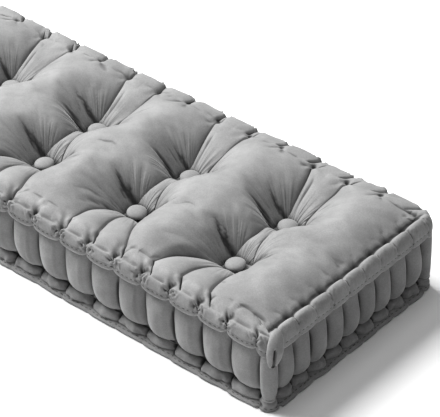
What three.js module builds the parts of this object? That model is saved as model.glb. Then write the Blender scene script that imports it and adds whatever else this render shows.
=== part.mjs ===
// A long bench cushion made like a French mattress: one filled cover whose top is drawn down by pairs of
// covered buttons, with a rolled and stitched edge round the top and the bottom, and sides sewn into a row
// of upright puffs. Millimetres, +Z up, +X along the bench. The origin is on the bench under the middle.
import * as THREE from "three";

// Plan of the cushion
const LENGTH = 1170;
const WIDTH = 400;
const CORNER_RADIUS = 30;

// Puffs of the sides: how many on the front, the back and each end, and the mesh columns on one of them
const FRONT_PUFFS = 20;
const BACK_PUFFS = 17;
const END_PUFFS = 9;
const PUFF_COLUMNS = 4;
const PUFF_ROUNDNESS = 0.6; // below 1 the puff is full and its groove is narrow

// Buttons: pairs across the cushion, spread along it
const BUTTON_PAIRS = 5;
const PAIR_PITCH = 200;
const BUTTON_SPACING = 122;
const BUTTON_RADIUS = 16;
const BUTTON_HEIGHT = 12;
const BUTTON_SIDES = 20;
const SEWN_GAP = 0.3; // between a button and the cloth that it presses down

// Heights of the tufted top
const CROWN_HEIGHT = 167; // the pillows along the middle
const PILLOW_EDGE_HEIGHT = 147; // the pillows beside the rolled edge
const SEAT_HEIGHT = 98; // the cloth under a button
const PLEAT_HEIGHT = 119; // the folds halfway between the two buttons of a pair
const FOLD_END_HEIGHT = 138; // the folds where they reach the rolled edge
const PETAL_RISE = 10; // cloth between two folds that fan out of a button to the front
const WEDGE_RISE = 6; // the single wedge of cloth that runs from a button to the back
const PLEAT_RISE = 8; // the pleat that lies between the two buttons of a pair

// Plan of the tufted top
const TOP_INSET = 35; // from the outline to the outer line of the tufted top
const SEAT_HALF = 17.5; // half of the square seat that a button lies in
const PLEAT_HALF = 15; // half width of the pleat between two buttons
const CROWN_POWER = 2.4; // how flat the crown stays before it falls to the edge
const PILLOW_ROUNDNESS = 0.55; // below 1 the pillow stands steep beside its folds

// The side's sections from the seam inside the top roll down to the underside. Each gives its height, how
// far it lies inside the outline at a groove, how far it swells out and rises in mid puff, and how far it
// hangs down at a corner, where the roll ends in a small tab.
const SIDE_SECTIONS = [
  { name: "top seam", height: 136, inset: 25, swell: 0, rise: 6, tab: 0 },
  { name: "top roll, inner", height: 141, inset: 19, swell: 0, rise: 5, tab: 0 },
  { name: "top roll, crest", height: 143, inset: 12, swell: 1, rise: 5, tab: 0 },
  { name: "top roll, outer", height: 133, inset: 4, swell: 3, rise: 3, tab: 0 },
  { name: "top hem", height: 114, inset: 3, swell: 3, rise: -4, tab: 9 },
  { name: "under the top hem", height: 109, inset: 14, swell: 6, rise: -3, tab: 9 },
  { name: "puff, upper", height: 94, inset: 16, swell: 13, rise: 0, tab: 0 },
  { name: "puff, middle", height: 68, inset: 18, swell: 18, rise: 0, tab: 0 },
  { name: "puff, lower", height: 42, inset: 18, swell: 15, rise: -2, tab: 0 },
  { name: "bottom seam", height: 25, inset: 18, swell: 4, rise: -2, tab: 0 },
  { name: "bottom roll, upper", height: 20, inset: 7, swell: -2, rise: -4, tab: 0 },
  { name: "bottom roll, outer", height: 11, inset: 1, swell: 1, rise: -1, tab: 0 },
  { name: "bottom hem", height: 3, inset: 0, swell: 0, rise: 0, tab: 0 },
  { name: "underside", height: 0, inset: 10, swell: 0, rise: 0, tab: 0 },
];

// Lines of the top's mesh. Across the cushion, from the middle outwards, each line lies at a share of the
// way through its zone: the pleat, the button's seat or the folds that fan out to the rolled edge.
const PLEAT_LINES = [0, 0.5];
const SEAT_LINES = [0, 0.5, 1];
const FAN_LINES = [0.25, 0.5, 0.8, 1];
// Along the cushion: folds and the cloth between them at each pair of buttons, from -1 to 1, and the lines
// on a pillow from one pair's last fold, 0, to the next pair's first, 1.
const FOLD_LINES = [-1, -0.5, 0, 0.5, 1];
const PILLOW_LINES = [0.06, 0.2, 0.5, 0.8, 0.94];
const END_PILLOW_LINES = [0.06, 0.2, 0.45, 0.7, 0.88, 1];

// Sizes that follow from the ones above
const HALF_LENGTH = LENGTH / 2;
const HALF_WIDTH = WIDTH / 2;
const STRAIGHT_LENGTH = LENGTH - 2 * CORNER_RADIUS;
const STRAIGHT_WIDTH = WIDTH - 2 * CORNER_RADIUS;
const FRONT_PITCH = STRAIGHT_LENGTH / FRONT_PUFFS;
const BACK_PITCH = STRAIGHT_LENGTH / BACK_PUFFS;
const TOP_HALF_LENGTH = HALF_LENGTH - TOP_INSET;
const TOP_HALF_WIDTH = HALF_WIDTH - TOP_INSET;
const BUTTON_Y = BUTTON_SPACING / 2;
const SEAT_INNER = BUTTON_Y - SEAT_HALF;
const SEAT_OUTER = BUTTON_Y + SEAT_HALF;

const mix = (from, to, share) => from + (to - from) * share;
const pairX = (pair) => (pair - (BUTTON_PAIRS - 1) / 2) * PAIR_PITCH;

// How far the cloth between two stitches swells, 0 at each stitch and 1 halfway
const swellAt = (phase) => Math.pow(Math.sin(Math.PI * phase), PUFF_ROUNDNESS);

// Side of the cushion

// Every upright line of the side's mesh, anticlockwise from the front's left corner: its place on the
// outline, its outward direction, how far it swells and how far it belongs to a corner's tab. A corner is
// one narrow puff.
function sideColumns() {
  const columns = [];
  const sides = [
    { turn: -90, reach: HALF_WIDTH, run: STRAIGHT_LENGTH, puffs: FRONT_PUFFS },
    { turn: 0, reach: HALF_LENGTH, run: STRAIGHT_WIDTH, puffs: END_PUFFS },
    { turn: 90, reach: HALF_WIDTH, run: STRAIGHT_LENGTH, puffs: BACK_PUFFS },
    { turn: 180, reach: HALF_LENGTH, run: STRAIGHT_WIDTH, puffs: END_PUFFS },
  ];
  for (const { turn, reach, run, puffs } of sides) {
    const angle = THREE.MathUtils.degToRad(turn);
    const out = new THREE.Vector2(Math.cos(angle), Math.sin(angle));
    const along = new THREE.Vector2(-out.y, out.x);
    const middle = out.clone().multiplyScalar(reach);
    const lines = puffs * PUFF_COLUMNS;
    for (let line = 0; line < lines; line++) {
      const place = middle.clone().addScaledVector(along, run * (line / lines - 0.5));
      columns.push({ place, out, swell: swellAt((line % PUFF_COLUMNS) / PUFF_COLUMNS), corner: 0 });
    }
    const centre = middle.addScaledVector(out, -CORNER_RADIUS).addScaledVector(along, run / 2);
    for (let line = 0; line < PUFF_COLUMNS; line++) {
      const phase = line / PUFF_COLUMNS;
      const cornerOut = out.clone().rotateAround(new THREE.Vector2(), (phase * Math.PI) / 2);
      const place = centre.clone().addScaledVector(cornerOut, CORNER_RADIUS);
      columns.push({ place, out: cornerOut, swell: swellAt(phase), corner: swellAt(phase) });
    }
  }
  return columns;
}

// One closed loop of points round the cushion at a section of its side
function sideLoop(section, columns) {
  return columns.map(({ place, out, swell, corner }) => {
    const outwards = section.swell * swell - section.inset;
    const height = section.height + section.rise * swell - section.tab * corner;
    return new THREE.Vector3(place.x + out.x * outwards, place.y + out.y * outwards, height);
  });
}

// Tufted top

// Where the folds of a button pair lie at a given distance from the cushion's long middle line: the middle
// of the group and half its width. Beyond the buttons they fan out, in front to three stitches of the rolled
// edge and at the back to the two stitches of one puff.
function foldGroup(pair, y) {
  const reach = Math.abs(y);
  const x = pairX(pair);
  if (reach <= SEAT_INNER) {
    return { middle: x, half: mix(PLEAT_HALF, SEAT_HALF, reach / SEAT_INNER) };
  }
  if (reach <= SEAT_OUTER) {
    return { middle: x, half: SEAT_HALF };
  }
  const share = (reach - SEAT_OUTER) / (TOP_HALF_WIDTH - SEAT_OUTER);
  const fromStart = x + STRAIGHT_LENGTH / 2;
  if (y < 0) {
    const stitchX = Math.round(fromStart / FRONT_PITCH) * FRONT_PITCH - STRAIGHT_LENGTH / 2;
    return { middle: mix(x, stitchX, share), half: mix(SEAT_HALF, FRONT_PITCH, share) };
  }
  const puffX = (Math.floor(fromStart / BACK_PITCH) + 0.5) * BACK_PITCH - STRAIGHT_LENGTH / 2;
  return { middle: mix(x, puffX, share), half: mix(SEAT_HALF, BACK_PITCH / 2, share) };
}

// Height of the bottom of the folds
function foldHeight(y) {
  const reach = Math.abs(y);
  if (reach <= SEAT_INNER) {
    return mix(PLEAT_HEIGHT, SEAT_HEIGHT, Math.pow(reach / SEAT_INNER, 3));
  }
  if (reach <= SEAT_OUTER) {
    return SEAT_HEIGHT;
  }
  const share = (reach - SEAT_OUTER) / (TOP_HALF_WIDTH - SEAT_OUTER);
  return mix(SEAT_HEIGHT, FOLD_END_HEIGHT, Math.sqrt(share));
}

// How far the cloth between the folds rises, at a line from -1 to 1 across the group of folds
function betweenFolds(line, y) {
  const reach = Math.abs(y);
  if (reach < SEAT_INNER) {
    return PLEAT_RISE * (1 - Math.abs(line)) * (1 - Math.pow(reach / SEAT_INNER, 2));
  }
  if (reach <= SEAT_OUTER) {
    return 0;
  }
  const share = (reach - SEAT_OUTER) / (TOP_HALF_WIDTH - SEAT_OUTER);
  const petals = PETAL_RISE * Math.abs(Math.sin(Math.PI * line));
  const wedge = WEDGE_RISE * Math.sqrt(1 - line * line);
  return Math.pow(share, 0.4) * (y < 0 ? petals : wedge);
}

const crownHeight = (y) =>
  mix(CROWN_HEIGHT, PILLOW_EDGE_HEIGHT, Math.pow(Math.abs(y) / TOP_HALF_WIDTH, CROWN_POWER));

// A pillow's rise across it, from 0 at a fold to 1 in its middle and 0 at the next fold
const pillowRise = (share) => Math.pow(Math.sin(Math.PI * share), PILLOW_ROUNDNESS);

// One line of points across the pillow between two folds
function pillowPoint(fromX, toX, share, y) {
  const low = foldHeight(y);
  const height = mix(low, crownHeight(y), pillowRise(share));
  return new THREE.Vector3(mix(fromX, toX, share), y, height);
}

// The pillow at an end of the cushion falls to the rolled edge instead of to a fold
function endPillowPoint(foldX, endX, share, y) {
  const rising = share < 0.5;
  const low = foldHeight(y);
  const crown = crownHeight(y);
  const fall = Math.pow(Math.max(0, share - 0.5) * 2, CROWN_POWER);
  const height = rising ? mix(low, crown, pillowRise(share)) : mix(crown, PILLOW_EDGE_HEIGHT, fall);
  return new THREE.Vector3(mix(foldX, endX, share), y, height);
}

// One line of points along the whole top
function topLine(y) {
  const points = [];
  const groups = Array.from({ length: BUTTON_PAIRS }, (_, pair) => foldGroup(pair, y));
  const first = groups[0];
  const last = groups[BUTTON_PAIRS - 1];
  for (const share of [...END_PILLOW_LINES].reverse()) {
    points.push(endPillowPoint(first.middle - first.half, -TOP_HALF_LENGTH, share, y));
  }
  groups.forEach(({ middle, half }, pair) => {
    for (const line of FOLD_LINES) {
      points.push(new THREE.Vector3(middle + line * half, y, foldHeight(y) + betweenFolds(line, y)));
    }
    const next = groups[pair + 1];
    if (!next) return;
    for (const share of PILLOW_LINES) {
      points.push(pillowPoint(middle + half, next.middle - next.half, share, y));
    }
  });
  for (const share of END_PILLOW_LINES) {
    points.push(endPillowPoint(last.middle + last.half, TOP_HALF_LENGTH, share, y));
  }
  return points;
}

// Distances of the top's lines from its long middle line, from the back edge to the front edge
function topDistances() {
  const outwards = [
    ...PLEAT_LINES.map((share) => share * SEAT_INNER),
    ...SEAT_LINES.map((share) => mix(SEAT_INNER, SEAT_OUTER, share)),
    ...FAN_LINES.map((share) => mix(SEAT_OUTER, TOP_HALF_WIDTH, share)),
  ];
  const inwards = outwards.slice(1).reverse();
  return [...inwards.map((y) => -y), ...outwards];
}

// Cover as one closed solid

// Collects points and triangles, all facing out
class CoverMesh {
  positions = [];
  triangles = [];

  addPoints(points) {
    const first = this.positions.length / 3;
    points.forEach((point) => this.positions.push(point.x, point.y, point.z));
    return points.map((_, index) => first + index);
  }

  addQuad(a, b, c, d) {
    this.triangles.push(a, b, c, a, c, d);
  }

  geometry() {
    const made = new THREE.BufferGeometry();
    made.setAttribute("position", new THREE.Float32BufferAttribute(this.positions, 3));
    made.setIndex(this.triangles);
    made.computeVertexNormals();
    return made;
  }
}

// Direction of a point from the middle, with the plan squeezed to a square so that all sides count alike
const turnOf = (point) => Math.atan2(point.y / HALF_WIDTH, point.x / HALF_LENGTH);

// A loop of { index, turn }, turned so that it starts at its lowest direction
function sortedLoop(indices, points) {
  const loop = indices.map((index, place) => ({ index, turn: turnOf(points[place]) }));
  const start = loop.reduce((best, item, place) => (item.turn < loop[best].turn ? place : best), 0);
  return [...loop.slice(start), ...loop.slice(0, start)];
}

// Joins two loops of unlike counts, the outer and the inner one both anticlockwise from above
function joinLoops(cover, outer, inner) {
  const full = 2 * Math.PI;
  const turnAt = (loop, step) => loop[step % loop.length].turn + full * Math.floor(step / loop.length);
  const indexAt = (loop, step) => loop[step % loop.length].index;
  let o = 0;
  let n = 0;
  while (o < outer.length || n < inner.length) {
    const outerNext = o < outer.length ? turnAt(outer, o + 1) : Infinity;
    const innerNext = n < inner.length ? turnAt(inner, n + 1) : Infinity;
    if (outerNext <= innerNext) {
      cover.triangles.push(indexAt(outer, o), indexAt(outer, o + 1), indexAt(inner, n));
      o++;
    } else {
      cover.triangles.push(indexAt(inner, n), indexAt(outer, o), indexAt(inner, n + 1));
      n++;
    }
  }
}

function addSide(cover) {
  const columns = sideColumns();
  const loops = SIDE_SECTIONS.map((section) => sideLoop(section, columns));
  const rings = loops.map((loop) => cover.addPoints(loop));
  for (let ring = 0; ring + 1 < rings.length; ring++) {
    const upper = rings[ring];
    const lower = rings[ring + 1];
    upper.forEach((_, here) => {
      const next = (here + 1) % upper.length;
      cover.addQuad(upper[here], lower[here], lower[next], upper[next]);
    });
  }
  const foot = rings[rings.length - 1];
  const footOutline = loops[loops.length - 1].map((point) => new THREE.Vector2(point.x, point.y));
  for (const [a, b, c] of THREE.ShapeUtils.triangulateShape(footOutline, [])) {
    cover.triangles.push(foot[c], foot[b], foot[a]);
  }
  return sortedLoop(rings[0], loops[0]);
}

function addTop(cover) {
  const lines = topDistances().map((y) => topLine(y));
  const indices = lines.map((line) => cover.addPoints(line));
  const lastLine = lines.length - 1;
  const lastPlace = lines[0].length - 1;
  for (let line = 0; line < lastLine; line++) {
    for (let place = 0; place < lastPlace; place++) {
      const near = indices[line];
      const far = indices[line + 1];
      cover.addQuad(near[place], near[place + 1], far[place + 1], far[place]);
    }
  }
  const edge = [];
  for (let place = 0; place < lastPlace; place++) edge.push([0, place]);
  for (let line = 0; line < lastLine; line++) edge.push([line, lastPlace]);
  for (let place = lastPlace; place > 0; place--) edge.push([lastLine, place]);
  for (let line = lastLine; line > 0; line--) edge.push([line, 0]);
  return sortedLoop(
    edge.map(([line, place]) => indices[line][place]),
    edge.map(([line, place]) => lines[line][place]),
  );
}

function coverGeometry() {
  const cover = new CoverMesh();
  const seam = addSide(cover);
  const topEdge = addTop(cover);
  joinLoops(cover, seam, topEdge);
  return cover.geometry();
}

// Covered button: a low dome over a rounded rim, standing on its flat back
function buttonGeometry() {
  const rimHeight = BUTTON_HEIGHT * 0.4;
  const domeHeight = BUTTON_HEIGHT - rimHeight;
  const profile = [new THREE.Vector2(0, 0), new THREE.Vector2(BUTTON_RADIUS * 0.85, 0)];
  const domeSteps = 4;
  for (let step = 0; step <= domeSteps; step++) {
    const angle = (step / domeSteps) * (Math.PI / 2);
    const radius = BUTTON_RADIUS * Math.cos(angle);
    profile.push(new THREE.Vector2(radius, rimHeight + domeHeight * Math.sin(angle)));
  }
  profile[profile.length - 1].x = 0;
  const dome = new THREE.LatheGeometry(profile, BUTTON_SIDES);
  return dome.rotateX(Math.PI / 2);
}

// Scene graph

const velvet = new THREE.MeshStandardMaterial({ color: "#8f8f8f", roughness: 0.9, metalness: 0 });
const buttonVelvet = new THREE.MeshStandardMaterial({ color: "#999999", roughness: 0.85, metalness: 0 });

const cushion = new THREE.Group();

const cover = new THREE.Mesh(coverGeometry(), velvet);
cover.name = "tufted_cover";
cushion.add(cover);

const buttons = new THREE.Group();
buttons.position.z = SEAT_HEIGHT + SEWN_GAP;
for (let pair = 0; pair < BUTTON_PAIRS; pair++) {
  for (const [side, y] of [["front", -BUTTON_Y], ["back", BUTTON_Y]]) {
    const button = new THREE.Mesh(buttonGeometry(), buttonVelvet);
    button.name = `button_${side}_${pair + 1}`;
    button.position.set(pairX(pair), y, 0);
    buttons.add(button);
  }
}
cushion.add(buttons);

export default cushion;
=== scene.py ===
import math
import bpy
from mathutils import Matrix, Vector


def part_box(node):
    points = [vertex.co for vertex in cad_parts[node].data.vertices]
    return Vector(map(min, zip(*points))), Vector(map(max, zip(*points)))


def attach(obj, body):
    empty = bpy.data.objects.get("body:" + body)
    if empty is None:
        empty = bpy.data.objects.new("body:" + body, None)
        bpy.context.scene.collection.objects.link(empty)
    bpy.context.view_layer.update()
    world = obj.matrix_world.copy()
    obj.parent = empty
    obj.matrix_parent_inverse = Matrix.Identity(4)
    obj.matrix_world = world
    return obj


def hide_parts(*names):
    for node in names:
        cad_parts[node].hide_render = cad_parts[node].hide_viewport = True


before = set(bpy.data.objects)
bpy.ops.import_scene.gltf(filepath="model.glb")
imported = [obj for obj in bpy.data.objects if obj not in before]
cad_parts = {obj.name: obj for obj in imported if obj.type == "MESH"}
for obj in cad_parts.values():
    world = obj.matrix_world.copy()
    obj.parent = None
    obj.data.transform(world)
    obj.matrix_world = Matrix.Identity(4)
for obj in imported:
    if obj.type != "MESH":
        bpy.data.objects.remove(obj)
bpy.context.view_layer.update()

from types import SimpleNamespace

import bpy
import numpy as np
from bpy.props import FloatProperty, FloatVectorProperty, IntProperty, PointerProperty
from mathutils import Matrix, Vector

bl_info = {
    "name": "Tufted bench cushion",
    "version": (1, 0, 0),
    "blender": (4, 5, 0),
    "location": "View3D > Sidebar > Cushion",
    "description": "Sews the velvet cover, covered buttons and hem stitches of a tufted bench cushion",
    "category": "Object",
}

# Lengths in the shape functions are millimetres. Meshes are made in metres.
MM = 0.001
BODY = "root"
COVER_NODE = "tufted_cover"
SEED = 7

COVER_LOW, COVER_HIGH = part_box(COVER_NODE)
BUTTON_LOW, BUTTON_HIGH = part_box("button_front_1")


def linear_colour(hex_code):
    """An sRGB hex colour as linear red, green and blue."""
    parts = [int(hex_code[i:i + 2], 16) / 255 for i in (1, 3, 5)]
    return tuple(p / 12.92 if p <= 0.04045 else ((p + 0.055) / 1.055) ** 2.4 for p in parts)


def length_value(name, description, default):
    """A length that a user may change, in metres."""
    return FloatProperty(name=name, description=description, default=default, unit="LENGTH", precision=4)


def colour_value(name, description, hex_code):
    """A colour that a user may change."""
    return FloatVectorProperty(
        name=name, description=description, default=linear_colour(hex_code),
        subtype="COLOR", size=3, min=0, max=1)


class CUSHION_PG_cover(bpy.types.PropertyGroup):
    """Sizes of the sewn cover."""

    length: length_value("Length", "End to end", COVER_HIGH[0] - COVER_LOW[0])
    width: length_value("Width", "Front to back", COVER_HIGH[1] - COVER_LOW[1])
    crown: length_value("Crown", "Height of the pillows along the middle", COVER_HIGH[2] - COVER_LOW[2])
    edge: length_value("Edge", "Height of the pillows beside the rolled edge", 0.146)
    roll: length_value("Roll", "Height of the top roll between two stitches", 0.147)
    hem: length_value("Hem", "Height of the top roll's hem at a stitch", 0.114)
    corner: length_value("Corner", "Radius of the corners", 0.030)
    front_puffs: IntProperty(name="Front puffs", description="Puffs along the front", default=20, min=4)
    back_puffs: IntProperty(name="Back puffs", description="Puffs along the back", default=17, min=4)
    end_puffs: IntProperty(name="End puffs", description="Puffs on an end", default=9, min=3)


class CUSHION_PG_tufting(bpy.types.PropertyGroup):
    """Sizes of the tufting and its buttons."""

    pairs: IntProperty(name="Pairs", description="Pairs of buttons along the cushion", default=5, min=1)
    pitch: length_value("Pitch", "From one pair of buttons to the next", 0.200)
    spacing: length_value("Spacing", "Between the two buttons of a pair", 0.122)
    seat: length_value("Seat", "Height of the cloth under a button", BUTTON_LOW[2])
    pleat: length_value("Pleat", "Height of the folds between two buttons", 0.119)
    fold_end: length_value("Fold end", "Height of the folds at the rolled edge", 0.137)
    radius: length_value("Button radius", "Radius of a button", (BUTTON_HIGH[0] - BUTTON_LOW[0]) / 2)
    dome: length_value("Button height", "Height of a button", BUTTON_HIGH[2] - BUTTON_LOW[2])


class CUSHION_PG_stitches(bpy.types.PropertyGroup):
    """Sizes of the stitches along the hems."""

    spacing: length_value("Spacing", "From one stitch to the next", 0.009)
    stitch: length_value("Stitch", "Length of one stitch", 0.006)
    thread: length_value("Thread", "Thickness of the thread", 0.0012)
    seed: IntProperty(name="Seed", description="Changes which stitches are longer", default=SEED, min=0)


class CUSHION_PG_look(bpy.types.PropertyGroup):
    """Colours and light."""

    velvet: colour_value("Velvet", "Colour of the pile", "#8F8F8F")
    velvet_shade: colour_value("Velvet shade", "Colour where the pile is brushed the other way", "#838383")
    thread: colour_value("Thread", "Colour of the hem stitches", "#5E5E5E")
    floor: colour_value("Floor", "Colour of the floor", "#EAEAEA")
    key: FloatProperty(
        name="Key light", description="Strength of the main light", default=840, min=0, unit="POWER")
    fill: FloatProperty(
        name="Fill light", description="Strength of the light from all round", default=0.16, min=0)


# Shape of the cloth


def smooth_step(low, high, value):
    """0 below low, 1 above high and a soft rise between."""
    t = np.clip((value - low) / (high - low), 0, 1)
    return t * t * (3 - 2 * t)


def blend(first, second, share):
    return first + (second - first) * share


def puffed(share, fullness):
    """Rise of stuffed cloth from a seam, 0, to full height, 1: steep at the seam and flat at the top."""
    t = np.clip(share, 0, 1)
    return (1 - (1 - t) ** 2) ** fullness


def between_stitches(phase, fullness):
    """Rise of stuffed cloth between two seams at phases 0 and 1."""
    return np.sin(np.pi * np.clip(phase, 0, 1)) ** fullness


def bump(value, middle, width):
    """A soft rise that is 1 at its middle."""
    return np.exp(-((value - middle) / width) ** 2)


def tuck(distance, reach, fullness=0.6):
    """How far a stitch draws the cloth in: 1 at the stitch and 0 at its reach."""
    return 1 - puffed(np.abs(distance) / reach, fullness)


def soft_noise(x, y, size, seed):
    """Smooth random values from -1 to 1 with lumps of the given size."""
    cells = 64
    lattice = np.random.default_rng(SEED * 1000 + seed).uniform(-1, 1, (cells, cells))
    across, along = x / size + cells / 2, y / size + cells / 2
    i, j = np.floor(across).astype(int), np.floor(along).astype(int)
    fx, fy = smooth_step(0, 1, across - i), smooth_step(0, 1, along - j)
    corner = lambda di, dj: lattice[(i + di) % cells, (j + dj) % cells]
    return blend(blend(corner(0, 0), corner(1, 0), fx), blend(corner(0, 1), corner(1, 1), fx), fy)


def cushion_plan(settings):
    """The sizes that the shapes below share, in millimetres."""
    cover, tufting = settings.cover, settings.tufting
    plan = SimpleNamespace(
        half_length=cover.length / MM / 2, half_width=cover.width / MM / 2, corner=cover.corner / MM,
        crown=cover.crown / MM, edge=cover.edge / MM, roll=cover.roll / MM, hem=cover.hem / MM,
        front_puffs=cover.front_puffs, back_puffs=cover.back_puffs, end_puffs=cover.end_puffs,
        pairs=tufting.pairs, pitch=tufting.pitch / MM, button_y=tufting.spacing / MM / 2,
        seat=tufting.seat / MM, pleat=tufting.pleat / MM, fold_end=tufting.fold_end / MM,
        button_radius=tufting.radius / MM, button_dome=tufting.dome / MM,
    )
    plan.long_run = 2 * (plan.half_length - plan.corner)
    plan.short_run = 2 * (plan.half_width - plan.corner)
    plan.front_pitch = plan.long_run / plan.front_puffs
    plan.back_pitch = plan.long_run / plan.back_puffs
    plan.end_pitch = plan.short_run / plan.end_puffs
    plan.top_x = plan.half_length - TOP_INSET
    plan.top_y = plan.half_width - TOP_INSET
    plan.seat_inner, plan.seat_outer = plan.button_y - SEAT_HALF, plan.button_y + SEAT_HALF
    plan.pair_x = [(pair - (plan.pairs - 1) / 2) * plan.pitch for pair in range(plan.pairs)]
    return plan


# The tufted top

TOP_INSET = 34  # from the outline to the edge of the tufted top, where the roll begins
FRONT_SEAM, END_SEAM, BACK_SEAM = 14, 23, 27  # from the outline to the stitches that gather the roll
FRONT_CREST, END_CREST, BACK_CREST = 7, 13, 12  # from the outline to the top of the roll
SEAT_HALF = 17.5  # half of the place that a button is drawn into
BUTTON_PULL, PULL_REACH = 18, 60  # how deep and how far out a button draws the pillows down
END_DROP = 8  # how far the pillows fall off at the two ends
PLEAT_HALF = 9.5  # half of the pleat between the two buttons of a pair
FOLD_CELLS = 28  # mesh cells across the folds of a pair
PILLOW_CELLS = 44  # mesh cells across a pillow
END_CELLS = 36  # mesh cells across the pillow at an end
WIDTH_CELLS = 104  # mesh cells from front to back


def fan_share(plan, y):
    """Share of the way from a button's seat to the rolled edge."""
    return np.clip((np.abs(y) - plan.seat_outer) / (plan.top_y - plan.seat_outer), 0, 1)


def fold_lines(plan, pair, y):
    """Middle and half width of a pair's group of folds, at distance y from the long middle line.

    Beyond the buttons they fan out, in front to three stitches of the rolled edge and at the back to the
    two stitches of one puff."""
    reach = np.abs(y)
    x = plan.pair_x[pair]
    from_start = x + plan.long_run / 2
    stitch_x = math.floor(from_start / plan.front_pitch + 0.5) * plan.front_pitch - plan.long_run / 2
    puff_x = (math.floor(from_start / plan.back_pitch) + 0.5) * plan.back_pitch - plan.long_run / 2
    share = fan_share(plan, y)
    lens = PLEAT_HALF + (SEAT_HALF - PLEAT_HALF) * np.clip(reach / plan.seat_inner, 0, 1) ** 2
    front_half = blend(SEAT_HALF, plan.front_pitch, share ** 0.6)
    back_half = blend(SEAT_HALF - 4, plan.back_pitch / 2, share ** 0.9)
    back_half = blend(SEAT_HALF, back_half, smooth_step(0, 0.15, share))
    half = np.where(reach <= plan.seat_outer, lens, np.where(y < 0, front_half, back_half))
    lean = 4 * soft_noise(y, np.full_like(y, 90.0 * pair), 55, 11) - np.where(y < 0, 8, 0)
    return blend(x, np.where(y < 0, stitch_x, puff_x), share) + lean * np.sin(np.pi * share), half


def fold_height(plan, y):
    """Height of the bottom of the folds."""
    reach = np.abs(y)
    between = blend(plan.pleat, plan.seat, np.clip(reach / plan.seat_inner, 0, 1) ** 3)
    steepness = np.where(y < 0, 0.55, 0.75)
    fan = blend(plan.seat, plan.fold_end - np.where(y < 0, 0, 4), fan_share(plan, y) ** steepness)
    return np.where(reach <= plan.seat_outer, between, fan)


def cloth_between_folds(plan, line, y):
    """Rise of the cloth between two folds, at a line from -1 to 1 across a pair's group of folds."""
    reach = np.abs(y)
    inner, outer = plan.seat_inner, plan.seat_outer
    share = fan_share(plan, y)
    petal = 11 * share ** 0.4 * np.abs(np.sin(np.pi * line)) ** 0.5
    crease = 4 * bump(line, -0.6, 0.13) * smooth_step(1.0, 0.5, share)
    wedge = share ** 0.4 * (7 * (1 - line ** 2) ** 0.35 - crease)
    pleat = 5 * np.clip(1 - (reach / inner) ** 2, 0, 1) * np.sqrt(np.clip(1 - line ** 2, 0, 1))
    at_fold = np.isclose(np.abs(line), 1) | (np.isclose(line, 0) & (y < -outer))
    cleft = 6 * smooth_step(plan.button_radius, 28, np.abs(reach - plan.button_y))
    cleft = np.where(at_fold, cleft, 0)
    return np.select([y < -outer, y > outer, reach < inner], [petal, wedge, pleat], 0) - cleft


def crown_height(plan, x, y):
    """Height of the pillows without their folds: a flat crown that rounds down to every edge."""
    from_end = plan.top_x - np.abs(x)
    depth = np.minimum(from_end, plan.top_y - np.abs(y))
    share = np.clip(depth / plan.top_y, 0, 1)
    return blend(plan.edge, plan.crown, 1 - (1 - share) ** 2.4) - END_DROP * bump(from_end, 0, 30)


def from_button(plan, x, y):
    """Distance to the nearest button."""
    return np.min([np.hypot(x - bx, np.abs(y) - plan.button_y) for bx in plan.pair_x], axis=0)


def clustered(cells):
    """Shares from 0 to 1 that lie closer together at both ends, where the cloth is steep."""
    even = np.arange(cells + 1) / cells
    return blend(even, 0.5 - 0.5 * np.cos(np.pi * even), 0.6)


def top_lines(plan):
    """Places and heights of the top's mesh, whose lines follow the folds, as three arrays."""
    y = np.linspace(-plan.top_y, plan.top_y, WIDTH_CELLS + 1)
    low = fold_height(plan, y)
    fullness = 0.5 + 0.4 * bump(np.abs(y), plan.button_y, 36)
    half_fan = clustered(FOLD_CELLS // 2)
    fan = np.concatenate([half_fan - 1, half_fan[1:]])
    groups = [fold_lines(plan, pair, y) for pair in range(plan.pairs)]
    xs, zs = [], []

    def add(x, rise_share=None, lift=0):
        xs.append(x)
        wrinkles = button_wrinkles(plan, x, y)
        if rise_share is None:
            zs.append(low + lift + 0.2 * wrinkles)
        else:
            pull = BUTTON_PULL * bump(from_button(plan, x, y), 0, PULL_REACH)
            rise = blend(low, crown_height(plan, x, y), rise_share)
            zs.append(rise - pull * np.sqrt(rise_share) + wrinkles * np.sqrt(rise_share))

    end_shares = 1 - np.sin(0.5 * np.pi * np.arange(END_CELLS + 1) / END_CELLS)
    first_fold = groups[0][0] - groups[0][1]
    last_fold = groups[-1][0] + groups[-1][1]
    for share in end_shares[:-1]:
        add(blend(first_fold, -plan.top_x, share), puffed(share * 1.6, fullness))
    for pair, (middle, half) in enumerate(groups):
        for line in fan:
            add(middle + line * half, None, cloth_between_folds(plan, line, y))
        if pair + 1 < plan.pairs:
            start, stop = middle + half, groups[pair + 1][0] - groups[pair + 1][1]
            for share in clustered(PILLOW_CELLS)[1:-1]:
                add(blend(start, stop, share), between_stitches(share, fullness))
    for share in end_shares[::-1][1:]:
        add(blend(last_fold, plan.top_x, share), puffed(share * 1.6, fullness))
    x = np.stack(xs, axis=1)
    return x, np.repeat(y[:, None], x.shape[1], axis=1), np.stack(zs, axis=1)


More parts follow.
